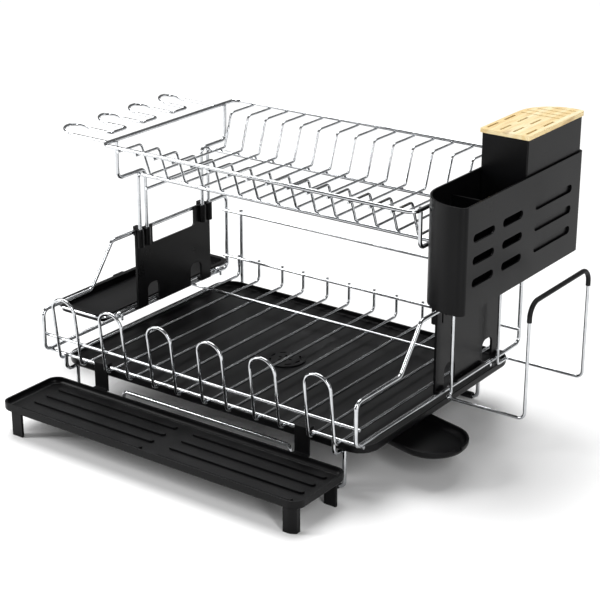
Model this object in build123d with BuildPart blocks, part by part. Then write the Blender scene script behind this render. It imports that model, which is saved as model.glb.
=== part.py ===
from build123d import *
import os

# Two-tier dish drying rack: a welded wire basket on four feet, an upper plate rack that lifts out
# of two moulded end panels, and the trays, caddy and holder that hang on them.
# Lengths are in millimetres. Every place below is given from the basket: x from its middle,
# y from its front and z from the counter. at() moves a place into the part's own frame.

# Wire and material thicknesses
FRAME_D = 4.6
WIRE_D = 3.6
DIVIDER_D = 3.0
HOLDER_D = 3.6
WELD = 0.4  # how deep two crossing wires are pressed into each other
THIN_WELD = 0.2
GAP = 0.3  # between pieces that lift apart
SNUG = 0.05  # round a wire or a neck, inside what is pushed on it
BEND = 8.0
TIGHT_BEND = 4.0
HALF_TURN_SPARE = 0.1  # two bends that make a half turn stop this short of meeting
WALL = 2.4
OVERRUN = 60.0  # height of a cut-out that runs out past an edge

# Main basket
FRAME_X = 215.0
FRAME_REAR = 338.0
RAIL_Z = 65.6
LOW_RAIL_Z = 115.2
HIGH_RAIL_Z = 164.5
LOW_RAIL_END = 81.0
HIGH_RAIL_START = 120.0
CROSS_HALF = FRAME_X + FRAME_D / 2
THICK_STEP = (FRAME_D + WIRE_D) / 2 - WELD
WIRE_STEP = WIRE_D - WELD
CROSS_Z = RAIL_Z - THICK_STEP
FLOOR_Z = CROSS_Z - WIRE_STEP
FRONT_RAIL_Y = 12.0
FLOOR_RAIL_Y = 270.0
MID_RAIL_Y = THICK_STEP
MID_RAIL_Z = 84.5
REAR_RAIL_Y = FRAME_REAR - THICK_STEP
MAIN_REAR_Z = 83.5
UPPER_REAR_Z = 145.0

# Arch wires
ARCHES = 6
ARCH_PITCH = 69.8
ARCH_WIDTH = 32.6
ARCH_MIDDLE = -4.2
ARCH_TOP = 137.4
ARCH_LEAN = 0.12  # forward for each millimetre up
ARCH_REAR = REAR_RAIL_Y + WIRE_STEP
ARCH_STUB_Z = MAIN_REAR_Z + 2.5

# Tray hangers and legs
HANGER_X = (-190.8, 182.4)
HANGER_Z = 44.4
HANGER_FRONT = FRONT_RAIL_Y - THICK_STEP
HANGER_REAR = REAR_RAIL_Y + THICK_STEP
HANGER_TOP = 148.0
LEG_X = 186.6
LEG_TOP = 46.0
LEG_Y = (22.0, 297.0)
FOOT_Z = 3.8
FOOT_IN = 121.0
LEG_BAR_X = 116.0
LEG_BAR_Z = 31.5
SLEEVE_D = 8.0
SLEEVE_SPAN = (128.0, 180.0)

# End panels and the upper rack's posts
PANEL_MIDDLE = 227.0
PANEL_L = 140.0
PANEL_IN = 209.5
PANEL_T = 3.0
PANEL_FOOT = 66.0
PANEL_TOP = 168.0
WINDOW_L = 80.0
WINDOW_Z = 143.5
POST_X = 207.0
OUTER_POST = 65.2
INNER_POST = 53.0
SOCKET_D = 8.6
SOCKET_Z = 146.0
POST_FOOT = 149.0
SLIT_W = 2.4
CUTOUT_OFFSET = 41.0
CUTOUT_W = 22.0
CUTOUT_TOP = 94.0
WINDOW_ROUND = 4.0
SLIT_L = 40.0
RAIL_CLEARANCE = 0.4
CLIP_OFFSET = 60.0
CLIP_W = 7.0
CLIP_DROP = 9.4

# Upper rack
RIM_X = 211.5
RIM_Y = (106.3, 356.0)
RIM_Z = 286.0
POST_RAIL_Z = 238.2
END_WIRE_Y = (126.0, 328.0)
END_WIRE_Z = 241.5
CROSS_WIRE_Z = 217.8
DIVIDERS = 15
DIVIDER_PITCH = 26.45
DIVIDER_RIM_Z = RIM_Z - (FRAME_D + DIVIDER_D) / 2 + THIN_WELD
DIVIDER_LOW_Z = POST_RAIL_Z + (FRAME_D + DIVIDER_D) / 2 - THIN_WELD
DIVIDER_ENDS = (103.3, 358.3)
DIVIDER_UPPER = (144.2, 313.6)
DIVIDER_LOWER = (158.6, 299.6)
CROSS_WIRE_STUB = 1.0
HOOK_ARMS = ((118.0, 149.0), (178.0, 206.5), (233.0, 262.5), (290.0, 318.5))
HOOK_BASE_X = 236.0
HOOK_KNEE_X = 268.0
HOOK_TIP_X = 288.5
HOOK_RISE = 4.5
HOOK_KNEE_BEND = 12.0
HOOK_TIP_BEND = 14.0
HOOK_BASE_BEND = 5.0

# Utensil caddy, knife block and lid
CADDY_X = (214.2, 275.0)
CADDY_Y = (98.5, 355.5)
CADDY_Z = (189.0, 304.0)
CADDY_WALL = 2.2
CADDY_ROUND = 45.0
CADDY_EDGE = 8.0
SLOT_ROWS = (219.7, 243.6, 267.5)
SLOT_COLUMNS = ((117.0, 160.0), (177.0, 219.0), (246.5, 329.0))
SLOT_H = 9.0
CADDY_DRAIN_Y = (130.0, 150.0, 190.0, 210.0)
CADDY_DRAIN = (30.0, 6.0)
CADDY_HOOKS = (152.0, 302.0)
CADDY_HOOK_W = 16.0
CADDY_HOOK_H = 8.0
CADDY_HOOK_ROOT = 1.0  # how far a hook is let into the wall
PARTITION_Y = 171.0
PARTITION_T = 1.6
PARTITION_TOP = 290.0
BLOCK_FRONT = 228.0
BLOCK_FOOT = 196.0
BLOCK_TOP = 343.8
BLOCK_WALL = 2.0
BLOCK_EDGE = 2.0
BLOCK_GAP = 0.5
LID_TOP = 348.6
LID_LIP = 3.0
LID_OVERHANG = 1.8
KNIFE_SLOT_X = (220.5, 236.0, 251.5, 267.0)
KNIFE_SLOT_Y = (244.5, 281.5)
KNIFE_SLOT = (2.6, 23.0)
WIDE_SLOTS = ((307.5, 220.0, 266.0), (319.5, 221.0, 266.0), (332.0, 227.0, 267.0), (344.0, 238.0, 267.0))

# Board and lid holder
HOLDER_IN = 222.0
HOLDER_OUT = 317.0
HOLDER_Z = 62.0
HOLDER_HOOKS = (174.0, 276.0)
HOLDER_Y = (165.5, 298.0)
HOLDER_TOP = 192.5
HOLDER_BEND = 16.0
HOLDER_HOOK_END = 213.8
HOLDER_HOOK_BEND = 5.0
GRIP_D = 5.4
GRIP_FOOT = 172.0

# Cup tray and its frame
STAPLE_REACH = (FRAME_D + WIRE_D) / 2 + GAP
STAPLE_X = -FRAME_X - STAPLE_REACH
CUP_FRAME_IN = STAPLE_X - WIRE_D + THIN_WELD / 2
CUP_TRAY_X = (-300.0, CUP_FRAME_IN - WIRE_D / 2 - GAP)
CUP_TRAY_Y = (110.0, 350.0)
CUP_TRAY_Z = (60.0, 71.0)
CUP_ROUND = 12.0
CUP_FLANGE = 4.0
CUP_FLANGE_IN = 3.1
CUP_FLANGE_T = 2.0
CUP_TAB = (217.0, 237.0)
CUP_TAB_OUT = 307.0
CUP_TAB_ROUND = 2.5
CUP_FRAME_Z = 66.8
CUP_HOOKS = (127.0, 318.0)

# Drain tray and spout
TRAY_X = (-206.0, 217.0)
TRAY_Y = (16.5, 325.0)
TRAY_Z = (47.0, 56.4)
TRAY_ROUND = 25.0
TRAY_EDGE = 4.0
DRAIN = (3.0, 169.0)
NECK_R = 15.0
NECK_WALL = 2.5
NECK_FOOT = 36.0
STRAINER_R = 24.0
STRAINER_T = 1.8
STRAINER_SKIRT = 6.0
STRAINER_SKIRT_T = 1.6
STRAINER_SLOT_W = 2.4
OUTER_SLOTS = (17.5, 8, 8.0)  # radius, number and length
INNER_SLOTS = (7.0, 6, 5.0)
SEAL_R = NECK_R + 4
CLIP_R = NECK_R + 3
SPOUT_R = 39.0
SPOUT_EDGE = 8.0
SPOUT_L = 241.8
SPOUT_ANGLE = -13.8
SPOUT_Z = (31.0, 40.8)
LIP_W = 10.0
LIP_DEPTH = 3.0

# Front drain board
BOARD_X = (-204.5, 204.5)
BOARD_Y = (-86.0, 3.5)
BOARD_Z = (26.6, 36.0)
BOARD_ROUND = 13.0
BOARD_EDGE = 2.5
BOARD_FLOOR = 29.2
BOARD_DISH = 4.5
RIB_TOP = 31.4
RIB_W = 7.0
RIB_ROWS = (-14.0, -33.5, -53.0, -72.5)
RIB_SPANS = ((-183.0, -8.5), (14.0, 189.0))
BOARD_LEG_X = (-180.0, 193.7)
BOARD_LEG = (14.6, 3.0)
REAR_LEG_Y = -13.0
TAB_X = (-137.4, 142.3)
TAB_W = 19.0
TAB_LIP_Z = 58.5

# The part's frame stands on the middle of the whole footprint.
GRIP_OUT = HOLDER_OUT + GRIP_D / 2
ORIGIN_X = (GRIP_OUT - CUP_TAB_OUT) / 2
ORIGIN_Y = (BOARD_Y[0] + RIM_Y[1] + FRAME_D / 2) / 2

os.makedirs("parts", exist_ok=True)


def at(x, y, z):
    """A place given from the basket, in the part's own frame."""
    return Vector(x - ORIGIN_X, y - ORIGIN_Y, z)


def level(x, y, z):
    """A horizontal sketch plane through a place given from the basket."""
    return Plane(at(x, y, z))


def finish(piece, name):
    """Label a finished piece and write it as its own node."""
    piece.part.label = name
    export_step(piece.part, f"parts/{name}.step")


def bent_wire(name, points, bend, diameter=FRAME_D, closed=False):
    """One round wire bent along points; bend is one radius, or one for each corner."""
    with BuildPart() as wire:
        with BuildLine() as path:
            FilletPolyline(*points, radius=bend, close=closed)
        with BuildSketch(Plane(path.line @ 0, z_dir=path.line % 0)):
            Circle(diameter / 2)
        sweep()
    finish(wire, name)


def straight_wire(name, start, end, diameter):
    """One straight round wire."""
    with BuildPart() as wire:
        with BuildSketch(Plane(start, z_dir=end - start)):
            Circle(diameter / 2)
        extrude(amount=(end - start).length)
    finish(wire, name)


def plan(span_x, span_y, z, front_left, front_right=None, rear_right=None, rear_left=None):
    """A flat rectangle at height z; each corner has its own radius, or all share the first."""
    half_x = (span_x[1] - span_x[0]) / 2
    half_y = (span_y[1] - span_y[0]) / 2
    corners = {
        (-half_x, -half_y, 0): front_left,
        (half_x, -half_y, 0): front_left if front_right is None else front_right,
        (half_x, half_y, 0): front_left if rear_right is None else rear_right,
        (-half_x, half_y, 0): front_left if rear_left is None else rear_left,
    }
    with BuildSketch(level(span_x[0] + half_x, span_y[0] + half_y, z)) as outline:
        Rectangle(2 * half_x, 2 * half_y)
        for corner, radius in corners.items():
            fillet(outline.vertices().sort_by_distance(corner)[0], radius)
    return outline.sketch


def inset(span, amount):
    """A span made shorter by amount at both ends."""
    return span[0] + amount, span[1] - amount


def round_bottomed(outline, height, edge):
    """A block on a flat outline, with its bottom edge rounded."""
    with BuildPart() as block:
        extrude(outline, amount=height)
        fillet(block.edges().group_by(Axis.Z)[0], edge)
    return block.part


# Main basket


def side_frame(name, x):
    """Closed wire loop at one end, low at the front and high at the rear."""
    corners = (
        at(x, 0, RAIL_Z),
        at(x, 0, LOW_RAIL_Z),
        at(x, LOW_RAIL_END, LOW_RAIL_Z),
        at(x, HIGH_RAIL_START, HIGH_RAIL_Z),
        at(x, FRAME_REAR, HIGH_RAIL_Z),
        at(x, FRAME_REAR, RAIL_Z),
    )
    bent_wire(name, corners, BEND, closed=True)


def cross_rail(name, y, z):
    """Straight wire between the two side frames."""
    straight_wire(name, at(-CROSS_HALF, y, z), at(CROSS_HALF, y, z), WIRE_D)


def arch_wire(number):
    """Two floor wires and the arch that joins them at the front, in one wire."""
    middle = ARCH_MIDDLE + ARCH_PITCH * (number - (ARCHES + 1) / 2)
    left = middle - ARCH_WIDTH / 2
    right = middle + ARCH_WIDTH / 2
    leg_y = MID_RAIL_Y - WIRE_STEP + ARCH_LEAN * (MID_RAIL_Z - FLOOR_Z)
    top_y = leg_y - ARCH_LEAN * (ARCH_TOP - FLOOR_Z)
    corners = (
        at(left, ARCH_REAR, ARCH_STUB_Z),
        at(left, ARCH_REAR, FLOOR_Z),
        at(left, leg_y, FLOOR_Z),
        at(left, top_y, ARCH_TOP),
        at(right, top_y, ARCH_TOP),
        at(right, leg_y, FLOOR_Z),
        at(right, ARCH_REAR, FLOOR_Z),
        at(right, ARCH_REAR, ARCH_STUB_Z),
    )
    arch_bend = ARCH_WIDTH / 2 - HALF_TURN_SPARE
    foot_bend = BEND - 1
    bends = [foot_bend, foot_bend, arch_bend, arch_bend, foot_bend, foot_bend]
    bent_wire(f"arch_wire_{number}", corners, bends, WIRE_D)


def tray_hanger(name, x):
    """Wire under the basket that the drain tray lies on."""
    corners = (
        at(x, HANGER_FRONT, CROSS_Z + WIRE_D / 2),
        at(x, HANGER_FRONT, HANGER_Z),
        at(x, HANGER_REAR, HANGER_Z),
        at(x, HANGER_REAR, HANGER_TOP),
    )
    bent_wire(name, corners, BEND)


def leg_frame(name, y):
    """Two legs, their feet and the raised bar between them, in one wire."""
    corners = (
        at(-LEG_X, y, LEG_TOP),
        at(-LEG_X, y, FOOT_Z),
        at(-FOOT_IN, y, FOOT_Z),
        at(-LEG_BAR_X, y, LEG_BAR_Z),
        at(LEG_BAR_X, y, LEG_BAR_Z),
        at(FOOT_IN, y, FOOT_Z),
        at(LEG_X, y, FOOT_Z),
        at(LEG_X, y, LEG_TOP),
    )
    bent_wire(name, corners, BEND - 2)


def foot_sleeves():
    """Four rubber sleeves on the feet, each with a flat underside on the counter."""
    length = SLEEVE_SPAN[1] - SLEEVE_SPAN[0]
    starts = [(x, y) for x in (-SLEEVE_SPAN[1], SLEEVE_SPAN[0]) for y in LEG_Y]
    planes = [Plane(at(x, y, FOOT_Z), x_dir=(0, 1, 0), z_dir=(1, 0, 0)) for x, y in starts]
    with BuildPart() as sleeves:
        with BuildSketch(*planes):
            Circle(SLEEVE_D / 2)
            with Locations((0, -FOOT_Z - SLEEVE_D / 2)):
                Rectangle(SLEEVE_D, SLEEVE_D, mode=Mode.SUBTRACT)
            Circle(FRAME_D / 2 + SNUG, mode=Mode.SUBTRACT)
        extrude(amount=length)
    finish(sleeves, "foot_sleeves")


def end_panel(name, side):
    """Moulded panel clipped inside a side frame, with four blind sockets for the posts."""
    face = Plane(at(side * PANEL_IN, PANEL_MIDDLE, 0), x_dir=(0, side, 0), z_dir=(side, 0, 0))
    cutouts = [(offset, CUTOUT_TOP - OVERRUN / 2) for offset in (-CUTOUT_OFFSET, CUTOUT_OFFSET)]
    slit = (OUTER_POST + INNER_POST) / 2
    slits = [(offset, SOCKET_Z + SLIT_L / 2) for offset in (-slit, slit)]
    clips = (-CLIP_OFFSET, CLIP_OFFSET)
    posts = [(0, offset) for offset in (-OUTER_POST, -INNER_POST, INNER_POST, OUTER_POST)]
    rail_out = FRAME_X + FRAME_D / 2 - PANEL_IN
    clip_in = rail_out + RAIL_CLEARANCE
    clip_z = HIGH_RAIL_Z + FRAME_D / 2 + GAP
    ledge_z = RAIL_Z + FRAME_D / 2
    with BuildPart() as panel:
        with BuildSketch(face):
            with Locations((0, (PANEL_FOOT + PANEL_TOP) / 2)):
                Rectangle(PANEL_L, PANEL_TOP - PANEL_FOOT)
            with Locations((0, WINDOW_Z + OVERRUN / 2)):
                RectangleRounded(WINDOW_L, OVERRUN, WINDOW_ROUND, mode=Mode.SUBTRACT)
            with Locations(*cutouts):
                RectangleRounded(CUTOUT_W, OVERRUN, BEND, mode=Mode.SUBTRACT)
            with Locations(*slits):
                Rectangle(SLIT_W, SLIT_L, mode=Mode.SUBTRACT)
        extrude(amount=PANEL_T)
        with BuildSketch(face.offset(PANEL_T)):
            with Locations((0, ledge_z + WALL / 2)):
                Rectangle(PANEL_L, WALL)
            with Locations(*cutouts):
                RectangleRounded(CUTOUT_W, OVERRUN, BEND, mode=Mode.SUBTRACT)
        extrude(amount=rail_out - PANEL_T)
        with BuildSketch(face):
            with Locations(*[(offset, clip_z + WALL / 2) for offset in clips]):
                Rectangle(CLIP_W, WALL)
        extrude(amount=clip_in + WALL)
        with BuildSketch(face.offset(clip_in)):
            with Locations(*[(offset, clip_z + (WALL - CLIP_DROP) / 2) for offset in clips]):
                Rectangle(CLIP_W, WALL + CLIP_DROP)
        extrude(amount=WALL)
        with BuildSketch(level(side * POST_X, PANEL_MIDDLE, SOCKET_Z)):
            with Locations(*posts):
                Circle(SOCKET_D / 2)
        extrude(amount=PANEL_TOP - SOCKET_Z)
        with BuildSketch(level(side * POST_X, PANEL_MIDDLE, PANEL_TOP)):
            with Locations(*posts):
                Circle(FRAME_D / 2 + GAP)
        extrude(amount=POST_FOOT - PANEL_TOP - GAP, mode=Mode.SUBTRACT)
    finish(panel, name)


# Upper rack


def upper_rim():
    """Closed wire loop round the top of the plate rack."""
    corners = (
        at(-RIM_X, RIM_Y[0], RIM_Z),
        at(RIM_X, RIM_Y[0], RIM_Z),
        at(RIM_X, RIM_Y[1], RIM_Z),
        at(-RIM_X, RIM_Y[1], RIM_Z),
    )
    bent_wire("upper_rim", corners, BEND + 2, closed=True)


def post_rail(name, y):
    """Cross rail under the dividers, bent down at both ends into the outer posts."""
    corners = (
        at(-POST_X, y, POST_FOOT),
        at(-POST_X, y, POST_RAIL_Z),
        at(POST_X, y, POST_RAIL_Z),
        at(POST_X, y, POST_FOOT),
    )
    bent_wire(name, corners, BEND / 2)


def end_wire(name, x, rim_y, post_y):
    """Wire that drops from the rim, runs over the post rail and ends in an inner post."""
    corners = (
        at(x, rim_y, RIM_Z),
        at(x, rim_y, END_WIRE_Z),
        at(x, post_y, END_WIRE_Z),
        at(x, post_y, POST_FOOT),
    )
    bent_wire(name, corners, BEND)


def low_cross_wire(name, side):
    """Short wire between the two inner posts of one end."""
    x = side * (POST_X - THICK_STEP)
    reach = INNER_POST + FRAME_D / 2 + CROSS_WIRE_STUB
    start = at(x, PANEL_MIDDLE - reach, CROSS_WIRE_Z)
    end = at(x, PANEL_MIDDLE + reach, CROSS_WIRE_Z)
    straight_wire(name, start, end, WIRE_D)


def plate_divider(number):
    """Wire from rim to rim that dips to the post rails, so that a plate stands beside it."""
    x = DIVIDER_PITCH * (number - (DIVIDERS + 1) / 2)
    corners = (
        at(x, DIVIDER_ENDS[0], DIVIDER_RIM_Z),
        at(x, DIVIDER_UPPER[0], DIVIDER_RIM_Z),
        at(x, DIVIDER_LOWER[0], DIVIDER_LOW_Z),
        at(x, DIVIDER_LOWER[1], DIVIDER_LOW_Z),
        at(x, DIVIDER_UPPER[1], DIVIDER_RIM_Z),
        at(x, DIVIDER_ENDS[1], DIVIDER_RIM_Z),
    )
    bends = [BEND - 2, TIGHT_BEND, TIGHT_BEND, BEND - 2]
    bent_wire(f"plate_divider_{number:02d}", corners, bends, DIVIDER_D)


def cup_hook_wire():
    """Serpentine wire at the left end: four cup hooks whose tips turn up."""
    rim_side = -(RIM_X + FRAME_D / 2 - WELD)
    corners = []
    for hook, (near, far) in enumerate(HOOK_ARMS):
        first = rim_side if hook == 0 else -HOOK_BASE_X
        last = rim_side if hook == len(HOOK_ARMS) - 1 else -HOOK_BASE_X
        corners += [
            at(first, near, RIM_Z),
            at(-HOOK_KNEE_X, near, RIM_Z),
            at(-HOOK_TIP_X, near, RIM_Z + HOOK_RISE),
            at(-HOOK_TIP_X, far, RIM_Z + HOOK_RISE),
            at(-HOOK_KNEE_X, far, RIM_Z),
            at(last, far, RIM_Z),
        ]
    tip = [HOOK_KNEE_BEND, HOOK_TIP_BEND, HOOK_TIP_BEND, HOOK_KNEE_BEND]
    bends = (tip + 2 * [HOOK_BASE_BEND]) * len(HOOK_ARMS)
    bent_wire("cup_hook_wire", corners, bends[:-2], WIRE_D)


# Utensil caddy, knife block and lid


def caddy_plan(amount, z, front=None):
    """The caddy's outline at height z, inset by amount, or its rear part behind a straight front."""
    large = CADDY_ROUND - amount
    small = CADDY_EDGE - amount
    rear = CADDY_Y[1] - amount
    if front is None:
        return plan(inset(CADDY_X, amount), (CADDY_Y[0] + amount, rear), z, large, small, small, large)
    return plan(inset(CADDY_X, amount), (front, rear), z, BLOCK_EDGE, BLOCK_EDGE, small, large)


def utensil_caddy():
    """Open caddy with slots in its outer wall, a partition, and two hooks for the rim wire."""
    middle_x = sum(CADDY_X) / 2
    floor_z = CADDY_Z[0] + WALL
    hook_z = RIM_Z + FRAME_D / 2 + GAP
    hook_in = RIM_X - FRAME_D / 2 - GAP
    hook_root = CADDY_X[0] + CADDY_HOOK_ROOT
    outer_face = Plane(at(CADDY_X[1], 0, 0), x_dir=(0, 1, 0), z_dir=(1, 0, 0))
    section = Plane(at(0, 0, 0), x_dir=(1, 0, 0), z_dir=(0, -1, 0))
    with BuildPart() as caddy:
        extrude(caddy_plan(0, CADDY_Z[0]), amount=CADDY_Z[1] - CADDY_Z[0])
        extrude(caddy_plan(CADDY_WALL, floor_z), amount=CADDY_Z[1], mode=Mode.SUBTRACT)
        with BuildSketch(outer_face):
            for row in SLOT_ROWS:
                for start, end in SLOT_COLUMNS:
                    with Locations(((start + end) / 2, row)):
                        SlotOverall(end - start, SLOT_H)
        extrude(amount=-2 * CADDY_WALL, mode=Mode.SUBTRACT)
        with BuildSketch(level(middle_x, 0, CADDY_Z[0])):
            with Locations(*[(0, y) for y in CADDY_DRAIN_Y]):
                SlotOverall(*CADDY_DRAIN)
        extrude(amount=WALL, mode=Mode.SUBTRACT)
        with BuildSketch(level(middle_x, PARTITION_Y, CADDY_Z[0])):
            Rectangle(CADDY_X[1] - CADDY_X[0] - CADDY_WALL, PARTITION_T)
        extrude(amount=PARTITION_TOP - CADDY_Z[0])
        for y in CADDY_HOOKS:
            with BuildSketch(section.offset(-y - CADDY_HOOK_W / 2)):
                with BuildLine():
                    Polyline(
                        (hook_root, hook_z + WALL),
                        (hook_in - WALL, hook_z + WALL),
                        (hook_in - WALL, hook_z - CADDY_HOOK_H),
                        (hook_in, hook_z - CADDY_HOOK_H),
                        (hook_in, hook_z),
                        (hook_root, hook_z),
                        close=True,
                    )
                make_face()
            extrude(amount=CADDY_HOOK_W)
    finish(caddy, "utensil_caddy")


def knife_block():
    """Hollow block that stands in the rear of the caddy."""
    outside = CADDY_WALL + BLOCK_GAP
    inside = outside + BLOCK_WALL
    height = BLOCK_TOP - BLOCK_FOOT
    with BuildPart() as block:
        extrude(caddy_plan(outside, BLOCK_FOOT, BLOCK_FRONT), amount=height)
        hollow = caddy_plan(inside, BLOCK_FOOT + WALL, BLOCK_FRONT + BLOCK_WALL)
        extrude(hollow, amount=height, mode=Mode.SUBTRACT)
    finish(block, "knife_block")


def bamboo_lid():
    """Lid with a row of slots for each knife size, and a lip that drops into the block."""
    edge = CADDY_WALL + BLOCK_GAP - LID_OVERHANG
    lip = CADDY_WALL + BLOCK_GAP + BLOCK_WALL + GAP
    front = BLOCK_FRONT + BLOCK_WALL + GAP
    lip_z = BLOCK_TOP - LID_LIP
    with BuildPart() as lid:
        extrude(caddy_plan(edge, BLOCK_TOP, BLOCK_FRONT - LID_OVERHANG), amount=LID_TOP - BLOCK_TOP)
        extrude(caddy_plan(lip, lip_z, front), amount=LID_LIP)
        with BuildSketch(level(0, 0, lip_z)):
            with Locations(*[(x, y) for x in KNIFE_SLOT_X for y in KNIFE_SLOT_Y]):
                Rectangle(*KNIFE_SLOT)
            for y, start, end in WIDE_SLOTS:
                with Locations(((start + end) / 2, y)):
                    Rectangle(end - start, KNIFE_SLOT[0])
        extrude(amount=LID_TOP - lip_z, mode=Mode.SUBTRACT)
    finish(lid, "bamboo_lid")


# Board and lid holder


def board_holder():
    """One bent wire: two hooks over the high rail, two arms, and the upright loop outside."""
    front_hook, rear_hook = HOLDER_HOOKS
    front, rear = HOLDER_Y
    hook_z = HIGH_RAIL_Z + (FRAME_D + HOLDER_D) / 2 + GAP
    corners = (
        at(HOLDER_HOOK_END, front_hook, hook_z),
        at(HOLDER_IN, front_hook, hook_z),
        at(HOLDER_IN, front_hook, HOLDER_Z),
        at(HOLDER_IN, front, HOLDER_Z),
        at(HOLDER_OUT, front, HOLDER_Z),
        at(HOLDER_OUT, front, HOLDER_TOP),
        at(HOLDER_OUT, rear, HOLDER_TOP),
        at(HOLDER_OUT, rear, HOLDER_Z),
        at(HOLDER_IN, rear, HOLDER_Z),
        at(HOLDER_IN, rear_hook, HOLDER_Z),
        at(HOLDER_IN, rear_hook, hook_z),
        at(HOLDER_HOOK_END, rear_hook, hook_z),
    )
    half = [HOLDER_HOOK_BEND, TIGHT_BEND, TIGHT_BEND, BEND, HOLDER_BEND]
    bends = half + half[::-1]
    bent_wire("board_holder", corners, bends, HOLDER_D)


def holder_grip():
    """Soft sleeve over the top of the holder's loop."""
    with BuildPart() as grip:
        with BuildLine() as path:
            FilletPolyline(
                at(HOLDER_OUT, HOLDER_Y[0], GRIP_FOOT),
                at(HOLDER_OUT, HOLDER_Y[0], HOLDER_TOP),
                at(HOLDER_OUT, HOLDER_Y[1], HOLDER_TOP),
                at(HOLDER_OUT, HOLDER_Y[1], GRIP_FOOT),
                radius=HOLDER_BEND,
            )
        with BuildSketch(level(HOLDER_OUT, HOLDER_Y[0], GRIP_FOOT)):
            Circle(GRIP_D / 2)
            Circle(HOLDER_D / 2 + SNUG, mode=Mode.SUBTRACT)
        sweep()
    finish(grip, "holder_grip")


# Cup tray


def cup_tray():
    """Shallow tray whose rim lies on its wire frame, with a finger tab on the outer side."""
    flange_x = (CUP_TRAY_X[0] - CUP_FLANGE, CUP_TRAY_X[1] + CUP_FLANGE_IN)
    flange_y = inset(CUP_TRAY_Y, -CUP_FLANGE)
    flange_z = CUP_TRAY_Z[1] - CUP_FLANGE_T
    with BuildPart() as tray:
        extrude(plan(CUP_TRAY_X, CUP_TRAY_Y, CUP_TRAY_Z[0], CUP_ROUND), amount=CUP_TRAY_Z[1] - CUP_TRAY_Z[0])
        extrude(plan(flange_x, flange_y, flange_z, CUP_ROUND + CUP_FLANGE), amount=CUP_FLANGE_T)
        extrude(plan((-CUP_TAB_OUT, CUP_TRAY_X[0]), CUP_TAB, flange_z, CUP_TAB_ROUND), amount=CUP_FLANGE_T)
        inner_x = inset(CUP_TRAY_X, WALL)
        inner_y = inset(CUP_TRAY_Y, WALL)
        inner = plan(inner_x, inner_y, CUP_TRAY_Z[0] + WALL, CUP_ROUND - WALL)
        extrude(inner, amount=CUP_TRAY_Z[1], mode=Mode.SUBTRACT)
    finish(tray, "cup_tray")


def cup_tray_frame():
    """Closed wire loop that the tray's rim lies on."""
    step = WIRE_D / 2 + GAP
    left = CUP_TRAY_X[0] - step
    front, rear = inset(CUP_TRAY_Y, -step)
    corners = (
        at(left, front, CUP_FRAME_Z),
        at(CUP_FRAME_IN, front, CUP_FRAME_Z),
        at(CUP_FRAME_IN, rear, CUP_FRAME_Z),
        at(left, rear, CUP_FRAME_Z),
    )
    bent_wire("cup_tray_frame", corners, CUP_ROUND + step, WIRE_D, closed=True)


def cup_frame_hooks():
    """Two wire staples that hang the cup tray's frame on the bottom rail."""
    foot_z = CUP_FRAME_Z - WIRE_D / 2
    top_z = RAIL_Z + STAPLE_REACH
    inner_x = -FRAME_X + STAPLE_REACH
    with BuildPart() as hooks:
        for y in CUP_HOOKS:
            with BuildLine() as path:
                FilletPolyline(
                    at(STAPLE_X, y, foot_z),
                    at(STAPLE_X, y, top_z),
                    at(inner_x, y, top_z),
                    at(inner_x, y, RAIL_Z - WIRE_D),
                    radius=STAPLE_REACH - HALF_TURN_SPARE,
                )
            with BuildSketch(level(STAPLE_X, y, foot_z)):
                Circle(WIRE_D / 2)
            sweep(path=path.line)
    finish(hooks, "cup_frame_hooks")


# Drain tray and spout


def drain_tray():
    """Shallow tray under the basket; its neck goes down through the spout."""
    depth = TRAY_Z[1] - TRAY_Z[0]
    inner = plan(inset(TRAY_X, WALL), inset(TRAY_Y, WALL), TRAY_Z[0] + WALL, TRAY_ROUND - WALL)
    with BuildPart() as tray:
        add(round_bottomed(plan(TRAY_X, TRAY_Y, TRAY_Z[0], TRAY_ROUND), depth, TRAY_EDGE))
        add(round_bottomed(inner, depth, TRAY_EDGE - WALL / 2), mode=Mode.SUBTRACT)
        with BuildSketch(level(*DRAIN, NECK_FOOT)):
            Circle(NECK_R)
        extrude(amount=TRAY_Z[0] - NECK_FOOT)
        with BuildSketch(level(*DRAIN, NECK_FOOT)):
            Circle(NECK_R - NECK_WALL)
        extrude(amount=depth + TRAY_Z[0] - NECK_FOOT, mode=Mode.SUBTRACT)
    finish(tray, "drain_tray")


def drain_strainer():
    """Slotted disc over the drain, with a skirt that sits in the neck."""
    disc_z = TRAY_Z[0] + WALL
    skirt_r = NECK_R - NECK_WALL - GAP
    with BuildPart() as strainer:
        with BuildSketch(level(*DRAIN, disc_z)):
            Circle(STRAINER_R)
            for (radius, count, length), turn in ((OUTER_SLOTS, 90), (INNER_SLOTS, 0)):
                with PolarLocations(radius, count):
                    SlotOverall(length, STRAINER_SLOT_W, rotation=turn, mode=Mode.SUBTRACT)
        extrude(amount=STRAINER_T)
        with BuildSketch(level(*DRAIN, disc_z)):
            Circle(skirt_r)
            Circle(skirt_r - STRAINER_SKIRT_T, mode=Mode.SUBTRACT)
        extrude(amount=-STRAINER_SKIRT)
    finish(strainer, "drain_strainer")


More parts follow.
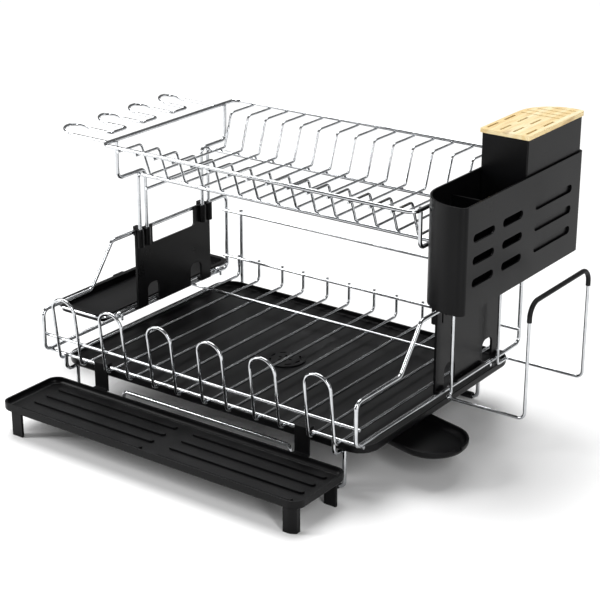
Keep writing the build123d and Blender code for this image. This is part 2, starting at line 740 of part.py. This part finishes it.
def drain_spout():
    """Open trough that swings about the drain neck; a bridge at its head holds it up."""
    trough = Plane(at(*DRAIN, SPOUT_Z[0]), x_dir=Vector(1, 0, 0).rotate(Axis.Z, SPOUT_ANGLE), z_dir=(0, 0, 1))
    depth = SPOUT_Z[1] - SPOUT_Z[0]
    with BuildSketch(trough) as outside:
        with Locations((SPOUT_L / 2, 0)):
            SlotCenterToCenter(SPOUT_L, 2 * SPOUT_R)
    with BuildSketch(trough.offset(WALL)) as inside:
        with Locations((SPOUT_L / 2, 0)):
            SlotCenterToCenter(SPOUT_L, 2 * (SPOUT_R - WALL))
    with BuildPart() as spout:
        add(round_bottomed(outside.sketch, depth, SPOUT_EDGE))
        add(round_bottomed(inside.sketch, depth, SPOUT_EDGE - WALL), mode=Mode.SUBTRACT)
        with BuildSketch(trough.offset(depth - WALL)):
            Circle(SPOUT_R - WALL / 2)
            Circle(NECK_R + GAP, mode=Mode.SUBTRACT)
        extrude(amount=WALL)
        with BuildSketch(trough.offset(depth - LIP_DEPTH)):
            with Locations((SPOUT_L + SPOUT_R, 0)):
                Rectangle(4 * WALL, LIP_W)
        extrude(amount=LIP_DEPTH, mode=Mode.SUBTRACT)
    finish(spout, "drain_spout")


def neck_ring(name, bottom, top, radius):
    """Ring on the drain neck."""
    with BuildPart() as ring:
        with BuildSketch(level(*DRAIN, bottom)):
            Circle(radius)
            Circle(NECK_R + SNUG, mode=Mode.SUBTRACT)
        extrude(amount=top - bottom)
    finish(ring, name)


# Front drain board


def board_legs():
    """Four flat legs; the front two follow the board's outline round its corners."""
    width, thickness = BOARD_LEG
    height = BOARD_FLOOR - WALL / 2
    with BuildPart() as legs:
        extrude(plan(BOARD_X, BOARD_Y, 0, BOARD_ROUND), amount=height)
        within = plan(inset(BOARD_X, thickness), inset(BOARD_Y, thickness), 0, BOARD_ROUND - thickness)
        extrude(within, amount=height, mode=Mode.SUBTRACT)
        with BuildSketch(level(0, BOARD_Y[0], 0)):
            with Locations(*[(x, 0) for x in BOARD_LEG_X]):
                Rectangle(width, 2 * BOARD_ROUND)
        extrude(amount=height, mode=Mode.INTERSECT)
        with BuildSketch(level(0, REAR_LEG_Y, 0)):
            with Locations(*[(x, 0) for x in BOARD_LEG_X]):
                Rectangle(width, thickness)
        extrude(amount=height)
    return legs.part


def drain_board():
    """Ribbed board on four short legs in front of the basket."""
    depth = BOARD_Z[1] - BOARD_Z[0]
    dish = plan(inset(BOARD_X, WALL), inset(BOARD_Y, WALL), BOARD_FLOOR, BOARD_ROUND - WALL)
    with BuildPart() as board:
        add(round_bottomed(plan(BOARD_X, BOARD_Y, BOARD_Z[0], BOARD_ROUND), depth, BOARD_EDGE))
        add(round_bottomed(dish, depth, BOARD_DISH), mode=Mode.SUBTRACT)
        with BuildSketch(level(0, 0, BOARD_FLOOR)):
            for start, end in RIB_SPANS:
                with Locations(*[((start + end) / 2, y) for y in RIB_ROWS]):
                    SlotOverall(end - start, RIB_W)
        extrude(amount=RIB_TOP - BOARD_FLOOR)
        add(board_legs())
    finish(board, "drain_board")


def drain_board_hooks():
    """Two tabs on the board's rear wall that hook over the basket's front bottom rail."""
    rail = FRONT_RAIL_Y
    front = rail - WIRE_D / 2 - GAP
    rear = rail + WIRE_D / 2 + GAP
    over = CROSS_Z + WIRE_D / 2 + GAP
    section = Plane(at(0, 0, 0), x_dir=(0, 1, 0), z_dir=(1, 0, 0))
    with BuildPart() as hooks:
        for x in TAB_X:
            with BuildSketch(section.offset(x - TAB_W / 2)):
                with BuildLine():
                    Polyline(
                        (BOARD_Y[1], BOARD_Z[1] - WALL),
                        (BOARD_Y[1], BOARD_Z[1]),
                        (front - WALL, BOARD_Z[1]),
                        (front - WALL, over + WALL),
                        (rear + WALL, over + WALL),
                        (rear + WALL, TAB_LIP_Z),
                        (rear, TAB_LIP_Z),
                        (rear, over),
                        (front, over),
                        (front, BOARD_Z[1] - WALL),
                        close=True,
                    )
                make_face()
            extrude(amount=TAB_W)
    finish(hooks, "drain_board_hooks")


def main():
    side_frame("left_side_frame", -FRAME_X)
    side_frame("right_side_frame", FRAME_X)
    cross_rail("main_rear_rail", REAR_RAIL_Y, MAIN_REAR_Z)
    cross_rail("upper_rear_rail", REAR_RAIL_Y, UPPER_REAR_Z)
    cross_rail("front_mid_rail", MID_RAIL_Y, MID_RAIL_Z)
    cross_rail("front_bottom_rail", FRONT_RAIL_Y, CROSS_Z)
    cross_rail("rear_floor_rail", FLOOR_RAIL_Y, CROSS_Z)
    for number in range(1, ARCHES + 1):
        arch_wire(number)
    tray_hanger("left_tray_hanger", HANGER_X[0])
    tray_hanger("right_tray_hanger", HANGER_X[1])
    leg_frame("front_leg_frame", LEG_Y[0])
    leg_frame("rear_leg_frame", LEG_Y[1])
    foot_sleeves()
    end_panel("left_end_panel", -1)
    end_panel("right_end_panel", 1)

    upper_rim()
    post_rail("front_post_rail", PANEL_MIDDLE - OUTER_POST)
    post_rail("rear_post_rail", PANEL_MIDDLE + OUTER_POST)
    for end, side in (("left", -1), ("right", 1)):
        end_wire(f"{end}_front_end_wire", side * POST_X, END_WIRE_Y[0], PANEL_MIDDLE - INNER_POST)
        end_wire(f"{end}_rear_end_wire", side * POST_X, END_WIRE_Y[1], PANEL_MIDDLE + INNER_POST)
        low_cross_wire(f"{end}_low_cross_wire", side)
    for number in range(1, DIVIDERS + 1):
        plate_divider(number)
    cup_hook_wire()

    utensil_caddy()
    knife_block()
    bamboo_lid()
    board_holder()
    holder_grip()
    cup_tray()
    cup_tray_frame()
    cup_frame_hooks()
    drain_tray()
    drain_strainer()
    drain_spout()
    neck_ring("spout_seal_ring", SPOUT_Z[1] + GAP, TRAY_Z[0], SEAL_R)
    neck_ring("spout_clip", NECK_FOOT, SPOUT_Z[1] - WALL - GAP, CLIP_R)
    drain_board()
    drain_board_hooks()


main()
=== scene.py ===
import math
import bmesh
import bpy
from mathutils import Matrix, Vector

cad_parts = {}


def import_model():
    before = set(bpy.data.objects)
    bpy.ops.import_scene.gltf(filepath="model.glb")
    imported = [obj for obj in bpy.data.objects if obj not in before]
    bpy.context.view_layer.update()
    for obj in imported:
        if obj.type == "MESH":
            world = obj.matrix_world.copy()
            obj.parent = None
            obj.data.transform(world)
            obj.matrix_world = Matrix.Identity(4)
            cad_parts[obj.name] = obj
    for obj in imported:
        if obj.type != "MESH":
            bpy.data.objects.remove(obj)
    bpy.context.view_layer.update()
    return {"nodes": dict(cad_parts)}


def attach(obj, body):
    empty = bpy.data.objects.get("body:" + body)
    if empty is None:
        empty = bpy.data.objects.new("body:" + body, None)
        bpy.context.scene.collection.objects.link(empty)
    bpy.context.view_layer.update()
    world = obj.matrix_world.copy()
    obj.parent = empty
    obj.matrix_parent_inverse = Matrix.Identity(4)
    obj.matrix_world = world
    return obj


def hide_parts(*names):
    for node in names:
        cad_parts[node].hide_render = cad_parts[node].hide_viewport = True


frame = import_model()
NODES = frame["nodes"]
MM = 0.001


# Colours and material nodes


def linear(hex_colour):
    """An sRGB hex colour, turned to the linear values that a shader takes."""
    channels = [int(hex_colour[i:i + 2], 16) / 255 for i in (1, 3, 5)]
    return [c / 12.92 if c <= 0.04045 else ((c + 0.055) / 1.055) ** 2.4 for c in channels] + [1.0]


def add(material, kind, settings=None, **links):
    """Add one node, set its properties and sockets, and link sockets from other nodes' outputs."""
    tree = material.node_tree
    node = tree.nodes.new(kind)
    for key, value in (settings or {}).items():
        if isinstance(key, str) and hasattr(node, key):
            setattr(node, key, value)
        else:
            node.inputs[key].default_value = value
    for name, source in links.items():
        socket = node.inputs[int(name[1:])] if name[0] == "i" and name[1:].isdigit() else node.inputs[name]
        tree.links.new(source, socket)
    return node


def new_material(name):
    material = bpy.data.materials.new(name)
    material.use_nodes = True
    return material, material.node_tree.nodes["Principled BSDF"]


def ramp_stops(node, stops):
    """Give a colour ramp these (place, colour) stops."""
    ramp = node.color_ramp
    while len(ramp.elements) > 1:
        ramp.elements.remove(ramp.elements[-1])
    for index, (place, colour) in enumerate(stops):
        stop = ramp.elements[0] if index == 0 else ramp.elements.new(place)
        stop.position = place
        stop.color = colour


def link(material, source, shader, socket):
    material.node_tree.links.new(source, shader.inputs[socket])


def grey(value):
    return [value, value, value, 1.0]


def chrome_plated_wire():
    """Chrome plate on drawn steel wire: near-mirror, with broad faint water marks and a fine unevenness."""
    water_marks = 55.0  # per metre, so about 18 mm apart
    unevenness = 900.0  # about 1.1 mm, coarser than on real wire, so that it shows
    material, shader = new_material("chrome_plated_wire")
    shader.inputs["Metallic"].default_value = 1.0
    place = add(material, "ShaderNodeTexCoord").outputs["Object"]
    marks = add(material, "ShaderNodeTexNoise", {"Scale": water_marks, "Detail": 5.0, "Roughness": 0.6},
                Vector=place)
    tint = add(material, "ShaderNodeValToRGB", Fac=marks.outputs["Fac"])
    dull, bright, even = linear("#B2B4B7"), linear("#CACCCE"), linear("#BEC0C2")
    ramp_stops(tint, [(0.3, dull), (0.6, bright), (0.8, even)])
    link(material, tint.outputs["Color"], shader, "Base Color")
    haze = add(material, "ShaderNodeValToRGB", Fac=marks.outputs["Fac"])
    ramp_stops(haze, [(0.35, grey(0.06)), (0.7, grey(0.15))])
    link(material, haze.outputs["Color"], shader, "Roughness")
    drawn = add(material, "ShaderNodeTexNoise", {"Scale": unevenness, "Detail": 2.0}, Vector=place)
    bump = add(material, "ShaderNodeBump", {"Strength": 0.06, "Distance": 0.2 * MM},
               Height=drawn.outputs["Fac"])
    link(material, bump.outputs["Normal"], shader, "Normal")
    return material


def moulded_black(name, colour, rough, grain_mm, depth, fleck):
    """Injection-moulded black plastic: spark-eroded grain, drawn coarser than real so that it shows."""
    flow_marks = 14.0  # per metre, so about 70 mm long
    material, shader = new_material(name)
    shader.inputs["IOR"].default_value = 1.5
    shader.inputs["Specular IOR Level"].default_value = 0.11
    place = add(material, "ShaderNodeTexCoord").outputs["Object"]
    grain = add(material, "ShaderNodeTexVoronoi", {"Scale": 1 / (grain_mm * MM)}, Vector=place)
    fine = add(material, "ShaderNodeTexNoise", {"Scale": 0.6 / (grain_mm * MM), "Detail": 4.0}, Vector=place)
    flow = add(material, "ShaderNodeTexNoise", {"Scale": flow_marks, "Detail": 3.0}, Vector=place)
    shade = add(material, "ShaderNodeValToRGB", Fac=flow.outputs["Fac"])
    ramp_stops(shade, [(0.3, linear(colour)), (0.75, linear(fleck))])
    link(material, shade.outputs["Color"], shader, "Base Color")
    sheen_range = {"From Min": 0.25, "From Max": 0.75, "To Min": rough - 0.05, "To Max": rough + 0.07}
    sheen = add(material, "ShaderNodeMapRange", sheen_range, Value=flow.outputs["Fac"])
    link(material, sheen.outputs["Result"], shader, "Roughness")
    both = add(material, "ShaderNodeMath", {"operation": "MULTIPLY_ADD", 1: 0.5},
               i0=grain.outputs["Distance"], i2=fine.outputs["Fac"])
    bump = add(material, "ShaderNodeBump", {"Strength": 0.35, "Distance": depth * MM},
               Height=both.outputs["Value"])
    link(material, bump.outputs["Normal"], shader, "Normal")
    return material


def dipped_rubber():
    """Soft black rubber sleeve: duller than the plastic, with dust in a fine orange peel."""
    orange_peel = 1500.0  # per metre, so about 0.7 mm
    dust_patches = 120.0  # about 8 mm
    material, shader = new_material("dipped_rubber")
    shader.inputs["IOR"].default_value = 1.52
    shader.inputs["Specular IOR Level"].default_value = 0.14
    place = add(material, "ShaderNodeTexCoord").outputs["Object"]
    peel = add(material, "ShaderNodeTexNoise", {"Scale": orange_peel, "Detail": 3.0}, Vector=place)
    dust = add(material, "ShaderNodeTexNoise", {"Scale": dust_patches, "Detail": 5.0}, Vector=place)
    shade = add(material, "ShaderNodeValToRGB", Fac=dust.outputs["Fac"])
    ramp_stops(shade, [(0.4, linear("#121213")), (0.8, linear("#242425"))])
    link(material, shade.outputs["Color"], shader, "Base Color")
    sheen = add(material, "ShaderNodeMapRange", {"To Min": 0.42, "To Max": 0.62}, Value=dust.outputs["Fac"])
    link(material, sheen.outputs["Result"], shader, "Roughness")
    bump = add(material, "ShaderNodeBump", {"Strength": 0.3, "Distance": 0.08 * MM},
               Height=peel.outputs["Fac"])
    link(material, bump.outputs["Normal"], shader, "Normal")
    return material


def sanded_bamboo():
    """Laminated bamboo: pale strips of varied tone, long fibres along y, and darker growth nodes."""
    strips_across = 1 / (7.5 * MM)
    strips_along = 4.5  # per metre, so a strip keeps its tone for about 220 mm
    fibres_across, fibres_along = 1600.0, 45.0  # about 0.6 mm wide and 22 mm long
    growth_across, growth_along = 60.0, 14.0  # about 17 mm wide and 70 mm apart
    material, shader = new_material("sanded_bamboo")
    shader.inputs["IOR"].default_value = 1.5
    place = add(material, "ShaderNodeTexCoord").outputs["Object"]
    along = add(material, "ShaderNodeMapping", {"Scale": (strips_across, strips_along, strips_across)},
                Vector=place)
    strips = add(material, "ShaderNodeTexNoise", {"Scale": 1.0, "Detail": 0.0},
                 Vector=along.outputs["Vector"])
    tone = add(material, "ShaderNodeValToRGB", Fac=strips.outputs["Fac"])
    ramp_stops(tone, [(0.3, linear("#E9CF95")), (0.5, linear("#F2E0B0")), (0.7, linear("#F8EAC4"))])
    fibre_map = add(material, "ShaderNodeMapping", {"Scale": (fibres_across, fibres_along, fibres_across)},
                    Vector=place)
    fibres = add(material, "ShaderNodeTexNoise", {"Scale": 1.0, "Detail": 4.0, "Roughness": 0.7},
                 Vector=fibre_map.outputs["Vector"])
    dark = add(material, "ShaderNodeValToRGB", Fac=fibres.outputs["Fac"])
    ramp_stops(dark, [(0.32, linear("#B98E50")), (0.52, linear("#FFFFFF"))])
    mixed = add(material, "ShaderNodeMix", {"data_type": "RGBA", "blend_type": "MULTIPLY", 0: 0.55},
                i6=tone.outputs["Color"], i7=dark.outputs["Color"])
    node_map = add(material, "ShaderNodeMapping", {"Scale": (growth_across, growth_along, growth_across)},
                   Vector=place)
    joints = add(material, "ShaderNodeTexNoise", {"Scale": 1.0, "Detail": 1.0},
                 Vector=node_map.outputs["Vector"])
    spot = add(material, "ShaderNodeMapRange", {"From Min": 0.66, "From Max": 0.74, "To Max": 0.45},
               Value=joints.outputs["Fac"])
    final = add(material, "ShaderNodeMix", {"data_type": "RGBA", "blend_type": "MIX", 7: linear("#9A7038")},
                i0=spot.outputs["Result"], i6=mixed.outputs[2])
    link(material, final.outputs[2], shader, "Base Color")
    sheen = add(material, "ShaderNodeMapRange", {"To Min": 0.42, "To Max": 0.6}, Value=fibres.outputs["Fac"])
    link(material, sheen.outputs["Result"], shader, "Roughness")
    bump = add(material, "ShaderNodeBump", {"Strength": 0.25, "Distance": 0.2 * MM},
               Height=fibres.outputs["Fac"])
    link(material, bump.outputs["Normal"], shader, "Normal")
    return material


CHROME = chrome_plated_wire()
PLASTIC = moulded_black("moulded_black_abs", "#070708", 0.3, 0.9, 0.05, "#0E0E0F")
TRAY_PLASTIC = moulded_black("moulded_black_pp", "#080809", 0.34, 1.2, 0.06, "#101011")
RUBBER = dipped_rubber()
BAMBOO = sanded_bamboo()

FINISHES = {
    "left_end_panel": PLASTIC,
    "right_end_panel": PLASTIC,
    "utensil_caddy": PLASTIC,
    "knife_block": PLASTIC,
    "cup_tray": TRAY_PLASTIC,
    "drain_tray": TRAY_PLASTIC,
    "drain_strainer": TRAY_PLASTIC,
    "drain_spout": TRAY_PLASTIC,
    "spout_clip": TRAY_PLASTIC,
    "drain_board": TRAY_PLASTIC,
    "drain_board_hooks": TRAY_PLASTIC,
    "foot_sleeves": RUBBER,
    "spout_seal_ring": RUBBER,
    "holder_grip": RUBBER,
    "bamboo_lid": BAMBOO,
}

for node_name, node in NODES.items():
    finish = FINISHES.get(node_name, CHROME)
    if not node.data.materials:
        node.data.materials.append(finish)
    for index in range(len(node.data.materials)):
        node.data.materials[index] = finish


# Moulded and sawn pieces, with their edges rounded

WELD_MM = 0.002
FLAT_DEGREES = 0.5  # faces that turn less than this are joined into one
EDGE_DEGREES = 35.0  # edges that turn more than this are rounded


def round_edged(node_name, body, width_mm):
    """Stand-in for a moulded or sawn piece: its own shape, welded, with small rounds on its edges."""
    shape = bmesh.new()
    shape.from_mesh(NODES[node_name].data)
    bmesh.ops.remove_doubles(shape, verts=shape.verts, dist=WELD_MM * MM)
    bmesh.ops.dissolve_limit(shape, angle_limit=math.radians(FLAT_DEGREES), verts=shape.verts,
                             edges=shape.edges)
    for face in shape.faces:
        face.smooth = True
    mesh = bpy.data.meshes.new(node_name + "_finished")
    shape.to_mesh(mesh)
    shape.free()
    mesh.materials.append(FINISHES[node_name])
    piece = bpy.data.objects.new(node_name + "_finished", mesh)
    bpy.context.collection.objects.link(piece)
    rounds = piece.modifiers.new("edge_rounds", "BEVEL")
    rounds.width = width_mm * MM
    rounds.segments = 2
    rounds.limit_method = "ANGLE"
    rounds.angle_limit = math.radians(EDGE_DEGREES)
    rounds.use_clamp_overlap = True
    even = piece.modifiers.new("even_shading", "WEIGHTED_NORMAL")
    even.weight = 100
    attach(piece, body)
    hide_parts(node_name)


# Each moulded piece with its body and the width of its rounds in mm
MOULDED = {
    "left_end_panel": ("basket", 0.5),
    "right_end_panel": ("basket", 0.5),
    "utensil_caddy": ("caddy", 0.6),
    "knife_block": ("knife_block", 0.6),
    "cup_tray": ("cup_tray", 0.6),
    "drain_tray": ("drain_tray", 0.7),
    "drain_spout": ("drain_spout", 0.6),
    "drain_board": ("drain_board", 0.6),
    "drain_board_hooks": ("drain_board", 0.5),
}

for node_name, (body, width) in MOULDED.items():
    round_edged(node_name, body, width)
round_edged("bamboo_lid", "bamboo_lid", 0.5)


# Stage, light and camera


FLOOR_HALF = 6.0
PICTURE = 600
AZIMUTH, ELEVATION = 35.81, 21.49
AIM_MM = (16.74, 33.85, 127.96)
DISTANCE_MM = 1890.3
SENSOR_MM = 36.0
FOCAL_WIDTHS = 1664.9 / PICTURE  # focal length in picture widths


def plain_material(name, colour, rough):
    material, shader = new_material(name)
    shader.inputs["Base Color"].default_value = linear(colour)
    shader.inputs["Roughness"].default_value = rough
    return material


def floor():
    mesh = bpy.data.meshes.new("floor")
    plane = bmesh.new()
    bmesh.ops.create_grid(plane, x_segments=1, y_segments=1, size=FLOOR_HALF)
    plane.to_mesh(mesh)
    plane.free()
    sheet = bpy.data.objects.new("floor", mesh)
    mesh.materials.append(plain_material("pale_floor", "#FAFAFA", 0.6))
    bpy.context.collection.objects.link(sheet)


def area_light(name, place, target, size, power):
    light = bpy.data.lights.new(name, "AREA")
    light.shape = "RECTANGLE"
    light.size, light.size_y = size
    light.energy = power
    lamp = bpy.data.objects.new(name, light)
    lamp.location = place
    lamp.rotation_euler = (Vector(target) - Vector(place)).to_track_quat("-Z", "Y").to_euler()
    bpy.context.collection.objects.link(lamp)


def overhead_sun(strength, spread):
    """Even light from above, behind the rack on its left, wide enough for soft shadows."""
    light = bpy.data.lights.new("overhead", "SUN")
    light.energy = strength
    light.angle = math.radians(spread)
    lamp = bpy.data.objects.new("overhead", light)
    lamp.rotation_euler = Vector((0.32, -0.38, -1.0)).to_track_quat("-Z", "Y").to_euler()
    bpy.context.collection.objects.link(lamp)


def camera():
    """Three-quarter view from the front right, a little above."""
    azimuth, elevation = math.radians(AZIMUTH), math.radians(ELEVATION)
    away = Vector((math.sin(azimuth) * math.cos(elevation), -math.cos(azimuth) * math.cos(elevation),
                   math.sin(elevation)))
    aim = Vector(AIM_MM) * MM
    lens = bpy.data.cameras.new("camera")
    lens.sensor_width = SENSOR_MM
    lens.lens = SENSOR_MM * FOCAL_WIDTHS
    eye = bpy.data.objects.new("camera", lens)
    eye.location = aim + away * DISTANCE_MM * MM
    eye.rotation_euler = (-away).to_track_quat("-Z", "Y").to_euler()
    bpy.context.collection.objects.link(eye)
    bpy.context.scene.camera = eye


def world():
    sky = bpy.data.worlds.new("studio")
    sky.use_nodes = True
    sky.node_tree.nodes["Background"].inputs["Color"].default_value = linear("#FFFFFF")
    sky.node_tree.nodes["Background"].inputs["Strength"].default_value = 0.18
    bpy.context.scene.world = sky


floor()
world()
overhead_sun(3.0, 46)
area_light("left_strip", (-1.4, -1.1, 0.9), (0, 0.05, 0.15), (0.4, 1.4), 22)
area_light("right_strip", (1.5, -1.0, 0.9), (0.1, 0, 0.2), (0.3, 1.4), 16)
camera()
bpy.context.scene.view_settings.view_transform = "Standard"
